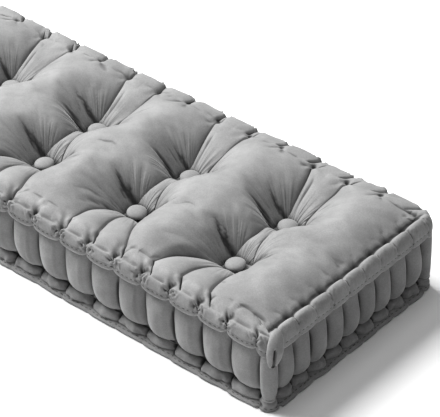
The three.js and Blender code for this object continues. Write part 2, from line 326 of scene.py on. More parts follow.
def stitch_offsets(plan, x, y):
    """Offsets along the edge and across it from the nearest stitch of the rolled edge, and whether that is
    on an end of the cushion."""
    pitch = np.where(y < 0, plan.front_pitch, plan.back_pitch)
    place = np.clip(np.round((x + plan.long_run / 2) / pitch), 0, plan.long_run / pitch)
    long_along = x - (place * pitch - plan.long_run / 2)
    long_across = plan.half_width - np.where(y < 0, FRONT_SEAM, BACK_SEAM) - np.abs(y)
    place = np.clip(np.round((y + plan.short_run / 2) / plan.end_pitch), 0, plan.end_puffs)
    short_along = y - (place * plan.end_pitch - plan.short_run / 2)
    short_across = plan.half_length - END_SEAM - np.abs(x)
    at_corner = (np.abs(x) > plan.long_run / 2 - 8) & (np.abs(y) > plan.short_run / 2 - 8)
    long_along = np.where(at_corner, 9 + np.abs(long_along), long_along)
    short_along = np.where(at_corner, 9 + np.abs(short_along), short_along)
    long_nearer = np.hypot(long_along, long_across) < np.hypot(short_along, short_across)
    along = np.where(long_nearer, long_along, short_along)
    return along, np.where(long_nearer, long_across, short_across), ~long_nearer


def stitch_dimples(plan, x, y):
    """Depth to which the rolled edge's stitches draw the cloth down, with small folds that run inwards."""
    along, across, at_end = stitch_offsets(plan, x, y)
    away = np.hypot(along, across)
    dimple = np.where(at_end, 9 * tuck(away, 15, 0.7), 11 * tuck(away, 13))
    turn = np.arctan2(along, across)
    inwards = smooth_step(-2, 8, across)
    ray = np.cos(turn * 5.5 + 2.2 * soft_noise(x, y, 45, 21))
    folds = np.where(at_end, 1.2, 3.0) * ray * np.exp(-away / 15) * smooth_step(5, 14, away)
    return dimple - folds * inwards


def button_wrinkles(plan, x, y):
    """Small folds that fan out of every button."""
    lift = np.zeros_like(x)
    for pair, button_x in enumerate(plan.pair_x):
        for side in (-1, 1):
            dx, dy = x - button_x, y - side * plan.button_y
            away = np.hypot(dx, dy)
            turn = np.arctan2(dy, dx)
            wander = soft_noise(dx + 170 * pair, dy + 300 * side, 38, 31)
            ray = np.abs(np.sin(turn * 9 + 2.0 * wander + pair)) ** 0.7 - 0.7
            ray = ray + 0.3 * np.cos(turn * 29 - 2.0 * wander + pair)
            strength = 2.6 + 1.6 * soft_noise(turn * 20 + 90 * pair, np.full_like(turn, 50.0 * side), 9, 32)
            lift += strength * ray * smooth_step(18, 44, away) * np.exp(-np.maximum(away - 42, 0) / 24)
    return lift


def top_surface(plan):
    """The tufted top as arrays of x, y and z."""
    x, y, z = top_lines(plan)
    near_button = from_button(plan, x, y)
    free = smooth_step(20, 45, near_button)
    z = z + free * 2.2 * soft_noise(x, y, 70, 1) + free * 0.8 * soft_noise(x, y, 26, 2)
    z = z - stitch_dimples(plan, x, y)
    seat = smooth_step(plan.button_radius + 3, plan.button_radius - 2, near_button)
    return x, y, blend(z, np.minimum(z, plan.seat - 1), seat)


# The sides


def outline_columns(plan, top_edge):
    """Upright lines round the cushion, anticlockwise from the middle of the front left corner.

    top_edge holds, for each side, the shares of the way along it at which its lines start."""
    sides = [
        (-90, plan.half_width, plan.long_run, plan.front_puffs),
        (0, plan.half_length, plan.short_run, plan.end_puffs),
        (90, plan.half_width, plan.long_run, plan.back_puffs),
        (180, plan.half_length, plan.short_run, plan.end_puffs),
    ]
    arc = plan.corner * math.pi / 2
    parts = []
    for number, ((turn, reach, run, puffs), shares) in enumerate(zip(sides, top_edge)):
        out_angle = math.radians(turn)
        out = np.array([math.cos(out_angle), math.sin(out_angle)])
        along = np.array([-out[1], out[0]])
        s = shares * (run + arc)
        before, after = s < arc / 2, s > run + arc / 2
        bend = np.where(before, s - arc / 2, np.where(after, s - run - arc / 2, 0)) / plan.corner
        travel = np.clip(s - arc / 2, 0, run) - run / 2
        angle = out_angle + bend
        direction = np.stack([np.cos(angle), np.sin(angle)], axis=1)
        centre = out * (reach - plan.corner) + travel[:, None] * along
        steps = (s - arc / 2) / (run / puffs)
        corner_phase = np.where(before, 0.5 + s / arc, (s - run - arc / 2) / arc)
        in_corner = before | after
        phase = np.where(in_corner, corner_phase, steps - np.floor(steps))
        width = np.where(in_corner, arc, run / puffs)
        parts.append(SimpleNamespace(
            place=centre + direction * plan.corner, out=direction, phase=phase, width=width,
            corner=in_corner.astype(float), side=np.full(len(s), number),
            number=np.where(in_corner, 90 + number, np.floor(steps)) + 100 * number, s=s + 2000 * number))
    joined = {key: np.concatenate([getattr(p, key) for p in parts]) for key in vars(parts[0])}
    columns = SimpleNamespace(**joined)
    columns.from_stitch = columns.width * (columns.phase - np.round(columns.phase))
    return columns


def by_side(columns, front, end, back):
    """A value for each column that differs from side to side and eases over at the corners."""
    values = np.choose(columns.side, [front, end, back, end]).astype(float)
    reach = 25
    wrapped = np.concatenate([values[-reach:], values, values[:reach]])
    return np.convolve(wrapped, np.full(reach, 1 / reach), "same")[reach:-reach]


def random_by_puff(columns, seed):
    """One steady random value from -1 to 1 for each puff."""
    values = np.random.default_rng(SEED * 100 + seed).uniform(-1, 1, 600)
    return values[columns.number.astype(int) % len(values)]


def side_noise(columns, height, size, seed, shift=0):
    """Soft noise round the cushion at a height."""
    return soft_noise(columns.s + shift, np.full_like(columns.s, height), size, seed)


def ring_points(columns, inset, z):
    """A ring of points at a distance inside the outline and a height."""
    inset = np.broadcast_to(inset, columns.phase.shape)
    z = np.broadcast_to(z, columns.phase.shape)
    place = columns.place - columns.out * inset[:, None]
    return np.column_stack([place, z])


ROLL_INNER_ROWS = 10  # from the tufted top to the crest of the roll
ROLL_OUTER_ROWS = 15  # from the crest of the roll to its hem
ROLL_RINGS = ROLL_INNER_ROWS + ROLL_OUTER_ROWS + 3  # with three rings under the hem
HELD_RINGS = 5  # the lowest rings of the roll, which its hem's stitches hold


def roll_rings(plan, columns, edge_points):
    """Rings from the edge of the tufted top over the roll to the underside of its hem."""
    swell = between_stitches(columns.phase, 0.6)
    from_stitch = columns.from_stitch
    strength = 1 + 0.35 * random_by_puff(columns, 1)
    pinch = tuck(from_stitch, by_side(columns, 10, 10, 17))
    slack = by_side(columns, 1, 0.3, 1)
    crest_inset = by_side(columns, FRONT_CREST, END_CREST, BACK_CREST)
    seam_inset = by_side(columns, FRONT_SEAM, END_SEAM, BACK_SEAM)
    seam_share = (TOP_INSET - seam_inset) / (TOP_INSET - crest_inset)
    crest_xy = columns.place - columns.out * crest_inset[:, None]
    crest_z = plan.roll - by_side(columns, 9, 4, 4) - blend(3, 7, slack) * pinch
    edge_dip = np.clip(plan.edge - edge_points[:, 2], 0, 10)
    crest_z = crest_z - 0.35 * edge_dip * by_side(columns, 0, 0, 1)
    crest_z = crest_z + 1.5 * random_by_puff(columns, 2) * swell
    edge_flat = edge_points[:, 2] + stitch_dimples(plan, edge_points[:, 0], edge_points[:, 1])
    rings = []
    for row in range(1, ROLL_INNER_ROWS + 1):
        share = row / ROLL_INNER_ROWS
        xy = blend(edge_points[:, :2], crest_xy, share)
        across = stitch_offsets(plan, xy[:, 0], xy[:, 1])[1]
        dimple = stitch_dimples(plan, xy[:, 0], xy[:, 1])
        groove = by_side(columns, 1.5, 7, 0) * bump(across, 1, 6)
        slit = 7 * tuck(from_stitch, 4.5) * smooth_step(3, -4, across) * slack
        ease = np.clip((share - seam_share + 0.25) / (1.25 - seam_share), 0, 1)
        z = blend(edge_flat, crest_z, smooth_step(0, 1, ease)) - dimple - groove - slit
        rings.append(np.column_stack([xy, z]))
    crest_z = rings[-1][:, 2]
    neck = tuck(from_stitch, 18)
    hem_z = plan.hem - 3 * (1 - slack) + (3 * neck - 4.5 * swell) * slack - 7 * columns.corner * swell
    hem_inset = 0.6 + (3.6 * pinch + 1.2 * (1 - swell)) * slack
    for row in range(1, ROLL_OUTER_ROWS + 1):
        share = 1 - (1 - row / ROLL_OUTER_ROWS) ** 1.25
        angle = share * np.pi / 2
        roundness = by_side(columns, 1.1, 1.3, 1.1)
        inset = hem_inset + (crest_inset - hem_inset) * (1 - np.sin(angle)) ** roundness
        z = hem_z + (crest_z - hem_z) * np.cos(angle) ** 0.9
        slit_place = from_stitch + 3 + 8 * share
        slit = 6.5 * strength * tuck(slit_place, 7) * smooth_step(-0.1, 0.1, share)
        slit = slit * smooth_step(0.8, 0.55, share) * (1 - columns.corner) * slack
        crumple = side_noise(columns, 25 * share, 9, 9)
        gather = np.cos(2 * np.pi * (from_stitch / 8 + 2.0 * share + 0.5 * crumple))
        gather = 2.2 * strength * gather * bump(from_stitch, 3, 11)
        knot = side_noise(columns, 30 * share, 7, 14, -12 * share)
        knot = 5 * (0.4 - np.abs(knot)) * np.exp(-(from_stitch / 17) ** 4)
        gather = (gather + knot) * smooth_step(-0.1, 0.3, share) * smooth_step(0.9, 0.65, share) * slack
        above_hem = z - hem_z
        hem_lines = 1.6 * (bump(above_hem, 4, 1.4) + bump(above_hem, 8.5, 1.4))
        lump = 1.1 * side_noise(columns, 40 * share, 17, 5)
        inward = slit - gather + hem_lines - lump * np.sin(np.pi * share)
        rings.append(ring_points(columns, inset + inward * np.sin(angle), z - inward * np.cos(angle)))
    rings.append(ring_points(columns, hem_inset + 1.4, hem_z - 2.2))
    rings.append(ring_points(columns, hem_inset + 6, hem_z - 1.6))
    rings.append(ring_points(columns, 22, hem_z - 2))
    return rings


PUFF_ROWS = 26  # from the top roll down to the bottom seam
FOOT_ROWS = 16  # from the bottom seam down to the bottom hem
BAND_RINGS = PUFF_ROWS + FOOT_ROWS + 3  # with the first ring and two under the bottom hem
BOTTOM_SEAM = 24  # height of the seam under the puffs
GROOVE_INSET = 19  # from the outline to the grooves between the puffs
PUFF_SWELL = 18.5  # from a groove out to the middle of a puff
FOOT_TOP, FOOT_HEM = 22, 3.5  # heights of the bottom roll
FOOT_DEPTH = 18  # from the outline to the bottom seam


def puff_rings(plan, columns):
    """Rings of the side band from behind the top roll down over the puffs to the bottom seam."""
    swell = between_stitches(columns.phase, 0.5)
    top_z = plan.hem + 2
    rings = []
    for row in range(PUFF_ROWS + 1):
        share = row / PUFF_ROWS
        ridge = between_stitches(columns.phase, 1.6 - 0.5 * share ** 3) * columns.corner
        z = blend(top_z, BOTTOM_SEAM - 4 * swell + 6 * (1 - swell), share)
        bulge = (1 - np.abs(2 * share - 1) ** (1.9 if share < 0.5 else 2.6)) ** 0.62
        inset = GROOVE_INSET + by_side(columns, 0, 4, 0) * (1 - share) - PUFF_SWELL * bulge * swell
        bow = 0.22 * (share - 0.4) * np.abs(share - 0.4)
        fold_phase = 0.7 + 0.07 * random_by_puff(columns, 4) + bow
        from_fold = (columns.phase - fold_phase) * columns.width
        fold = 0.7 * bump(from_fold, 0, 2.6) - 0.6 * bump(from_fold, 5, 2.8)
        fold = fold * smooth_step(0.15, 0.4, share) * smooth_step(1.0, 0.8, share) * (1 - columns.corner)
        gathers = side_noise(columns, 9.0 * share, 4.2, 6)
        gathers = 1.7 * gathers * (np.exp(-share / 0.16) + 0.8 * np.exp(-(1 - share) / 0.13)) * bulge
        lump = 1.3 * side_noise(columns, 80 * share, 24, 7) * bulge
        inset = inset - fold - gathers - lump
        rings.append(ring_points(columns, blend(inset, 1.5 - 1.5 * bulge, ridge), z))
    return rings


def foot_rings(columns):
    """Rings of the bottom roll, from the bottom seam to the underside."""
    swell = between_stitches(columns.phase, 0.5)
    ridge = between_stitches(columns.phase, 1.4) * columns.corner
    puff = bump(columns.phase, 0.5, 0.22) * (1 - columns.corner)
    pinch = tuck(columns.from_stitch + 2, 13) * (1 - columns.corner)
    wave = 1.5 * pinch + 0.8 * (1 - swell) + 1.5 * side_noise(columns, 0, 28, 12)
    beside_ridge = 6 * columns.corner * (1 - ridge)
    start_z = FOOT_TOP + 3 * puff - 5 * pinch
    rings = []
    for row in range(1, FOOT_ROWS + 1):
        share = 1 - (1 - row / FOOT_ROWS) ** 1.2
        angle = share * np.pi / 2
        inset = FOOT_DEPTH * (1 - np.sin(angle)) ** 1.25 + 0.8
        z = FOOT_HEM + (start_z - FOOT_HEM) * np.cos(angle) ** 0.9
        pulled = (6 + 8 * pinch) * np.sin(np.pi * share) ** 0.7 - 3.5 * puff * np.sin(np.pi * share)
        crumple = side_noise(columns, 24 * share, 9, 8)
        pulled = pulled - 4 * crumple * np.sin(np.pi * share) ** 0.6 * (1 - 0.5 * puff)
        inset = np.maximum(inset + pulled + wave, 0)
        foot_crease = 3.5 * bump(z, 16, 2.2)
        seam_line = 4.5 * bump(z, 8.5, 2.2)
        inset = blend(inset + seam_line + beside_ridge, foot_crease + 0.5, ridge)
        rings.append(ring_points(columns, inset, z))
    hem_inset = np.maximum(wave + beside_ridge, 0) * (1 - ridge)
    rings.append(ring_points(columns, hem_inset + 1.6, 1.2))
    rings.append(ring_points(columns, hem_inset + 6, 0))
    return rings


# Meshes


def ring_faces(numbers):
    """Faces between rings of points, by the points' numbers."""
    faces = []
    for upper, lower in zip(numbers[:-1], numbers[1:]):
        faces += np.column_stack([upper, lower, np.roll(lower, -1), np.roll(upper, -1)]).tolist()
    return faces


def closing_faces(ring, centre):
    """Faces from the last ring of points to one point."""
    return np.column_stack([ring, np.full(len(ring), centre), np.roll(ring, -1)]).tolist()


def capped_rings(sides, rings):
    """Faces of rings of points that follow on a single point, and the numbers of the last ring."""
    numbers = [1 + sides * row + np.arange(sides) for row in range(rings)]
    faces = np.column_stack([np.zeros(sides, int), numbers[0], np.roll(numbers[0], -1)]).tolist()
    return faces + ring_faces(numbers), numbers[-1]


def vectors_of(mesh, name):
    """The places of a mesh's points, or another vector that they hold."""
    values = np.empty(3 * len(mesh.vertices))
    mesh.vertices.foreach_get(name, values)
    return values.reshape(-1, 3)


def mesh_object(name, points, faces, material):
    """A smooth object made of points in millimetres."""
    mesh = bpy.data.meshes.new(name)
    mesh.from_pydata((np.asarray(points) * MM).tolist(), [], faces)
    mesh.polygons.foreach_set("use_smooth", np.ones(len(mesh.polygons), bool))
    mesh.materials.append(material)
    mesh.update()
    piece = bpy.data.objects.new(name, mesh)
    bpy.context.scene.collection.objects.link(piece)
    return piece


def edge_walk(x, y, z):
    """The edge of the tufted top, side by side and with a point halfway along every mesh line."""
    sides = (np.s_[0, :], np.s_[:, -1], np.s_[-1, ::-1], np.s_[::-1, 0])
    shares, points = [], []
    for number, side in enumerate(sides):
        line = np.column_stack([x[side], y[side], z[side]])
        fine = np.empty((2 * len(line) - 2, 3))
        fine[0::2] = line[:-1]
        fine[1::2] = (line[:-1] + line[1:]) / 2
        travel = fine[:, number % 2]
        start, stop = line[0, number % 2], line[-1, number % 2]
        shares.append((travel - start) / (stop - start))
        points.append(fine)
    return shares, np.concatenate(points)


def top_panel_mesh(plan):
    """Points and faces of the top panel with its rolled edge, closed underneath, and the side's columns."""
    x, y, z = top_surface(plan)
    lines, places = x.shape
    shares, edge_points = edge_walk(x, y, z)
    columns = outline_columns(plan, shares)
    rings = roll_rings(plan, columns, edge_points)
    grid = np.arange(lines * places).reshape(lines, places)
    points = [np.column_stack([x.ravel(), y.ravel(), z.ravel()])]
    around = (grid[:-1, :-1], grid[:-1, 1:], grid[1:, 1:], grid[1:, :-1])
    faces = np.column_stack([corner.ravel() for corner in around]).tolist()
    count = len(columns.phase)
    numbers = []
    for ring in rings:
        numbers.append(sum(len(p) for p in points) + np.arange(count))
        points.append(ring)
    edge = np.concatenate([grid[0, :-1], grid[:-1, -1], grid[-1, :0:-1], grid[:0:-1, 0]])
    first = numbers[0]
    for here, (corner, follower) in enumerate(zip(edge, np.roll(edge, -1))):
        left, middle, right = first[2 * here], first[2 * here + 1], first[(2 * here + 2) % count]
        faces += [(corner, left, middle), (corner, middle, follower), (follower, middle, right)]
    faces += ring_faces(numbers)
    faces += closing_faces(numbers[-1], sum(len(p) for p in points))
    points.append(np.array([[0, 0, plan.hem / 2]]))
    return np.concatenate(points), faces, columns


def side_band_mesh(plan, columns):
    """Points and faces of the side band with its puffs, the bottom roll and the flat underside."""
    rings = puff_rings(plan, columns) + foot_rings(columns)
    count = len(columns.phase)
    numbers = [np.arange(count) + count * ring for ring in range(len(rings))]
    top, bottom = count * len(rings), count * len(rings) + 1
    points = np.concatenate(rings + [np.array([[0, 0, plan.hem / 2 - 5], [0, 0, 0]])])
    first = numbers[0]
    faces = ring_faces(numbers)
    faces += np.column_stack([first, np.roll(first, -1), np.full(count, top)]).tolist()
    faces += closing_faces(numbers[-1], bottom)
    return points, faces


# Stuffing

STITCH_HOLD = 3.5  # reach of a stitch of the rolled edge, in which the cloth is held


def sewn_points(plan, points):
    """Numbers of the top panel's points that thread holds: folds, button seats, stitches and everything
    below the hem."""
    fan_step = FOLD_CELLS + PILLOW_CELLS
    lines = WIDTH_CELLS + 1
    places = 2 * END_CELLS + plan.pairs * FOLD_CELLS + (plan.pairs - 1) * PILLOW_CELLS + 1
    sewn = np.zeros(len(points), bool)
    grid = np.arange(lines * places).reshape(lines, places)
    for pair in range(plan.pairs):
        start = END_CELLS + pair * fan_step
        for place in (start, start + FOLD_CELLS):
            sewn[grid[:, place]] = True
        middle = grid[:, start + FOLD_CELLS // 2]
        sewn[middle[points[middle, 1] < -plan.button_y]] = True
    x, y, _ = points.T
    sewn |= from_button(plan, x, y) < plan.button_radius
    along, across, _ = stitch_offsets(plan, x, y)
    sewn |= np.hypot(along, across) < STITCH_HOLD
    ring_count = (len(points) - lines * places - 1) // ROLL_RINGS
    sewn[-(HELD_RINGS * ring_count + 1):] = True
    return np.flatnonzero(sewn)


TOP_SLACK = 0.002  # spare cloth of the tufted top, as a share of its size
ROLL_SLACK = 0.05  # spare cloth that is gathered into the roll
STUFF_PRESSURE = 3
STUFF_FRAMES = 14  # frames in which the cloth comes to rest


def stuffing_room(plan, points):
    """How far the stuffing may move each point: little beside a button and more out on a pillow."""
    away = from_button(plan, points[:, 0], points[:, 1])
    return blend(3.0, 9.0, smooth_step(20, 75, away))


def points_in_roll(plan, points):
    """Numbers of the points that belong to the rolled edge."""
    depth = np.minimum(plan.half_length - np.abs(points[:, 0]), plan.half_width - np.abs(points[:, 1]))
    return np.flatnonzero(depth < TOP_INSET + 4)


def stuff(piece, sewn, roll, farthest):
    """Fills a piece: the cloth between the sewn points swells and wrinkles, by farthest at most."""
    scene = bpy.context.scene
    for name, numbers in (("sewn", sewn), ("roll", roll)):
        piece.vertex_groups.new(name=name).add(numbers.tolist(), 1.0, "REPLACE")
    cloth = piece.modifiers.new("stuffing", "CLOTH")
    weave = {
        "quality": 5, "mass": 0.3, "tension_stiffness": 20, "compression_stiffness": 10,
        "shear_stiffness": 5, "bending_stiffness": 2, "vertex_group_mass": "sewn",
        "use_pressure": True, "uniform_pressure_force": STUFF_PRESSURE,
        "vertex_group_shrink": "roll", "shrink_min": -TOP_SLACK, "shrink_max": -ROLL_SLACK,
    }
    for name, value in weave.items():
        setattr(cloth.settings, name, value)
    cloth.settings.effector_weights.gravity = 0
    cloth.collision_settings.use_collision = False
    cloth.point_cache.frame_start = 1
    cloth.point_cache.frame_end = STUFF_FRAMES
    for number in range(1, STUFF_FRAMES + 1):
        scene.frame_set(number)
    stuffed = bpy.data.meshes.new_from_object(piece.evaluated_get(bpy.context.evaluated_depsgraph_get()))
    before = vectors_of(piece.data, "co")
    move = vectors_of(stuffed, "co") - before
    size = np.linalg.norm(move, axis=1)
    move *= np.minimum(1, farthest * MM / np.maximum(size, 1e-9))[:, None]
    piece.modifiers.remove(cloth)
    piece.vertex_groups.clear()
    piece.data.vertices.foreach_set("co", (before + move).ravel())
    piece.data.update()
    bpy.data.meshes.remove(stuffed)
    scene.frame_set(1)


# Marks that the velvet reads

PAINTED_LIGHT_STEPS = (3, 12, 40)  # rounds of smoothing against which fine, middling and broad folds are found
PAINTED_LIGHT_SHARE = 0.7  # how far a point moves towards its neighbours in a round
PAINTED_LIGHT_DEPTH = 0.25  # depth of a clear fold after one round


def mark(mesh, name, kind, values):
    """Stores values for a mesh's points."""
    made = mesh.attributes.new(name, kind, "POINT")
    made.data.foreach_set("vector" if kind == "FLOAT_VECTOR" else "value", values.ravel())


def neighbour_mean(values, first, second, count):
    """Mean of each point's neighbours, joined to it by the edges from first to second."""
    degree = np.bincount(first, minlength=count) + np.bincount(second, minlength=count)
    sums = [np.bincount(first, column[second], count) + np.bincount(second, column[first], count)
            for column in values.T]
    return np.stack(sums, axis=1) / degree[:, None]


def mark_painted_light(piece):
    """Marks folds below 0 and edges above 0, from which the velvet paints shade into the folds and a
    highlight onto the edges.
    """
    mesh = piece.data
    count = len(mesh.vertices)
    place, normal = vectors_of(mesh, "co") / MM, vectors_of(mesh, "normal")
    ends = np.empty(2 * len(mesh.edges), int)
    mesh.edges.foreach_get("vertices", ends)
    first, second = ends[0::2], ends[1::2]
    smoothed = place
    painted_light_mask = np.zeros(count)
    for step in range(1, PAINTED_LIGHT_STEPS[-1] + 1):
        smoothed = blend(smoothed, neighbour_mean(smoothed, first, second, count), PAINTED_LIGHT_SHARE)
        if step in PAINTED_LIGHT_STEPS:
            depth = ((place - smoothed) * normal).sum(axis=1)
            painted_light_mask += np.tanh(depth / (PAINTED_LIGHT_DEPTH * math.sqrt(step)))
    # Painted light mask: below 0 the velvet paints shade into a fold, above 0 a highlight onto an edge
    mark(mesh, "painted_light_mask", "FLOAT", painted_light_mask / len(PAINTED_LIGHT_STEPS))


def mark_pull(piece, plan):
    """Marks each point's direction from the nearest button and how strongly that draws it, and numbers the
    button."""
    x, y, _ = vectors_of(piece.data, "co").T / MM
    middle = (plan.pairs - 1) / 2
    pair = np.clip(np.round(x / plan.pitch + middle), 0, plan.pairs - 1)
    side = np.sign(y)
    dx, dy = x - (pair - middle) * plan.pitch, y - side * plan.button_y
    away, other = np.hypot(dx, dy), np.hypot(dx, y + side * plan.button_y)
    strength = smooth_step(90, 30, away) * smooth_step(3, 30, other - away)
    mark(piece.data, "pull", "FLOAT_VECTOR", np.column_stack([dx, dy, strength]))
    mark(piece.data, "button", "FLOAT", 3 * pair + side)


# Materials


def node(tree, kind, settings=None, links=None):
    """Adds a node, sets its properties and values, and links its inputs to outputs, or to the first outputs
    of other nodes."""
    made = tree.nodes.new(kind)
    for key, value in (settings or {}).items():
        if isinstance(key, str) and hasattr(made, key):
            setattr(made, key, value)
        else:
            made.inputs[key].default_value = value
    for key, source in (links or {}).items():
        output = source.outputs[0] if isinstance(source, bpy.types.Node) else source
        tree.links.new(output, made.inputs[key])
    return made


def ranged(tree, source, span, result):
    """Stretches a value's span to another span."""
    ends = {"From Min": span[0], "From Max": span[1], "To Min": result[0], "To Max": result[1]}
    return node(tree, "ShaderNodeMapRange", ends, {"Value": source})


def product(tree, first, second):
    return node(tree, "ShaderNodeMath", {"operation": "MULTIPLY"}, {0: first, 1: second})


def velvet(name, light, shade):
    """Short-pile polyester velvet, woven and sheared: matt, with soft patches where the pile lies another
    way, a fine nap and a pale sheen where the cloth turns away. Painted shade darkens the folds and a
    painted highlight brightens the edges. Fine wrinkles run from every button."""
    material = bpy.data.materials.new(name)
    material.use_nodes = True
    tree = material.node_tree
    tree.nodes.clear()
    place = node(tree, "ShaderNodeTexCoord").outputs["Object"]
    painted_light_mask = node(tree, "ShaderNodeAttribute", {"attribute_name": "painted_light_mask"}).outputs["Fac"]
    pull = node(tree, "ShaderNodeAttribute", {"attribute_name": "pull"}).outputs["Vector"]
    button = node(tree, "ShaderNodeAttribute", {"attribute_name": "button"}).outputs["Fac"]
    patch_mm, nap_mm = 45, 2.2  # the nap is drawn coarser than the real 0.3 mm so that it shows
    patches = node(tree, "ShaderNodeTexNoise",
                   {"Scale": 1 / (patch_mm * MM), "Detail": 4, "Roughness": 0.6}, {"Vector": place})
    nap = node(tree, "ShaderNodeTexNoise",
               {"Scale": 1 / (nap_mm * MM), "Detail": 3, "Roughness": 0.7}, {"Vector": place})
    spread = ranged(tree, patches, (0.35, 0.65), (0, 1))
    brushed = node(tree, "ShaderNodeMix", {"data_type": "RGBA", 6: (*shade, 1), 7: (*light, 1)},
                   {"Factor": spread})
    fleck = ranged(tree, nap, (0.3, 0.7), (0.9, 1.08))
    # Painted shade: the colour falls to a quarter deep in a fold
    painted_fold_shade = ranged(tree, painted_light_mask, (-0.9, 0), (0.25, 1))
    # Painted highlight: the colour rises by a tenth out on an edge
    painted_edge_highlight = ranged(tree, painted_light_mask, (0, 0.9), (1, 1.1))
    # Painted shade and highlight, times the nap's random tone
    painted_light_and_nap = product(tree, product(tree, painted_fold_shade, painted_edge_highlight), fleck)
    colour = node(tree, "ShaderNodeVectorMath", {"operation": "SCALE"},
                  {"Vector": brushed.outputs[2], "Scale": painted_light_and_nap})
    flat = node(tree, "ShaderNodeVectorMath", {"operation": "MULTIPLY", 1: (1, 1, 0)}, {0: pull})
    turn = node(tree, "ShaderNodeVectorMath", {"operation": "NORMALIZE"}, {0: flat})
    strength = node(tree, "ShaderNodeSeparateXYZ", None, {0: pull}).outputs["Z"]
    wrinkles = node(tree, "ShaderNodeTexNoise",
                    {"noise_dimensions": "4D", "Scale": 5, "Detail": 2, "Roughness": 0.6},
                    {"Vector": turn, "W": button})
    level = node(tree, "ShaderNodeMath", {"operation": "SUBTRACT", 1: 0.5}, {0: wrinkles})
    creases = node(tree, "ShaderNodeBump", {"Strength": 1, "Distance": 0.006},
                   {"Height": product(tree, level, strength)})
    nap_bump = node(tree, "ShaderNodeBump", {"Strength": 0.25, "Distance": 0.0006},
                    {"Height": nap, "Normal": creases})
    surface = node(tree, "ShaderNodeBsdfPrincipled", {
        "Roughness": 0.88, "IOR": 1.45, "Specular IOR Level": 0.2,
        "Sheen Weight": 0.35, "Sheen Roughness": 0.4, "Sheen Tint": (0.9, 0.9, 0.9, 1)},
        {"Base Color": colour, "Normal": nap_bump})
    node(tree, "ShaderNodeOutputMaterial", None, {"Surface": surface})
    return material


def plain_material(name, colour, roughness, specular):
    """A material of one even colour."""
    material = bpy.data.materials.new(name)
    material.use_nodes = True
    values = material.node_tree.nodes["Principled BSDF"].inputs
    values["Base Color"].default_value = (*colour, 1)
    values["Roughness"].default_value = roughness
    values["Specular IOR Level"].default_value = specular
    return material


def finished_piece(piece, node_name):
    """Ties a piece to the body it rides on and hides the node that it stands for."""
    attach(piece, BODY)
    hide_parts(node_name)


# Operators


class CUSHION_OT_cover(bpy.types.Operator):
    """Sew the top panel with its rolled edge and the side band with its puffs"""

    bl_idname = "cushion.cover"
    bl_label = "Sew the cover"

    def execute(self, context):
        settings = context.scene.cushion
        plan = cushion_plan(settings)
        cloth = velvet("brushed_velvet", settings.look.velvet, settings.look.velvet_shade)
        points, faces, columns = top_panel_mesh(plan)
        top = mesh_object("top_panel", points, faces, cloth)
        stuff(top, sewn_points(plan, points), points_in_roll(plan, points), stuffing_room(plan, points))
        points, faces = side_band_mesh(plan, columns)
        band = mesh_object("side_band", points, faces, cloth)
        mark_pull(top, plan)
        for piece in (top, band):
            mark_painted_light(piece)
            finished_piece(piece, COVER_NODE)
        return {"FINISHED"}


class CUSHION_OT_ears(bpy.types.Operator):
    """Fold the spare cloth of the front corners into ears"""

    bl_idname = "cushion.ears"
    bl_label = "Fold the corner ears"

    def execute(self, context):
        plan = cushion_plan(context.scene.cushion)
        cloth = bpy.data.materials["brushed_velvet"]
        for name, side in (("left", -1), ("right", 1)):
            points, faces = ear_mesh(plan, side)
            piece = mesh_object(f"corner_ear_{name}", points, faces, cloth)
            mark_painted_light(piece)
            finished_piece(piece, COVER_NODE)
        return {"FINISHED"}


EAR_HALF_WIDTH, EAR_HALF_HEIGHT = 12, 31
EAR_MIDDLE = 117  # height of an ear's middle


def ear_mesh(plan, side):
    """Points and faces of one ear: an upright hood of doubled cloth with a slit below, that hangs from the
    roll down over a front corner."""
    sides, rim_rows, front_rows = 64, 6, 14
    turn = np.arange(sides) * 2 * np.pi / sides
    out = np.array([side, -1]) / math.sqrt(2)
    along = np.array([side, 1]) / math.sqrt(2)
    corner = np.array([side * (plan.half_length - plan.corner), -(plan.half_width - plan.corner)])

    def ring(reach, lift):
        across = EAR_HALF_WIDTH * reach * np.cos(turn) * (1 + 0.12 * np.sin(turn))
        z = EAR_MIDDLE + EAR_HALF_HEIGHT * reach * np.sin(turn)
        across = across + 7 + 0.13 * (z - EAR_MIDDLE)
        lean = 9 * np.clip((z - plan.hem) / 30, 0, 1.2) ** 2
        place = corner + np.outer(plan.corner + lift - lean, out) + np.outer(across, along)
        return np.column_stack([place, z])

    rings = []
    for row in range(1, front_rows + 1):
        reach = row / front_rows
        u, v = reach * np.cos(turn), reach * np.sin(turn)
        crumple = soft_noise(9 * u, 24 * v, 5, 13)
        dome = 9 * (1 - 0.9 * reach ** 2) ** 0.6
        slit = 11 * bump(u + 0.05 + 0.2 * v, 0, 0.2) * smooth_step(0.4, -0.1, v)
        rings.append(ring(reach * 0.96, 2 + dome - slit + 1.3 * crumple * reach))
    for row in range(1, rim_rows + 1):
        angle = row / rim_rows * np.pi / 2
        reach = 0.96 + 0.04 * np.sin(2 * angle) - 0.2 * (row / rim_rows) ** 3
        rings.append(ring(reach, 4 - 9 * row / rim_rows))
    points = np.concatenate([ring(0.0, 5.0)[:1]] + rings + [ring(0.0, -5.0)[:1]])
    faces, last = capped_rings(sides, len(rings))
    faces += closing_faces(last, len(points) - 1)
    if side < 0:
        faces = [face[::-1] for face in faces]
    return points, faces


TOP_HEM_RING = ROLL_INNER_ROWS + 11  # ring of the top panel that the stitches follow
FOOT_HEM_RING = PUFF_ROWS + 14  # ring of the side band that the stitches follow


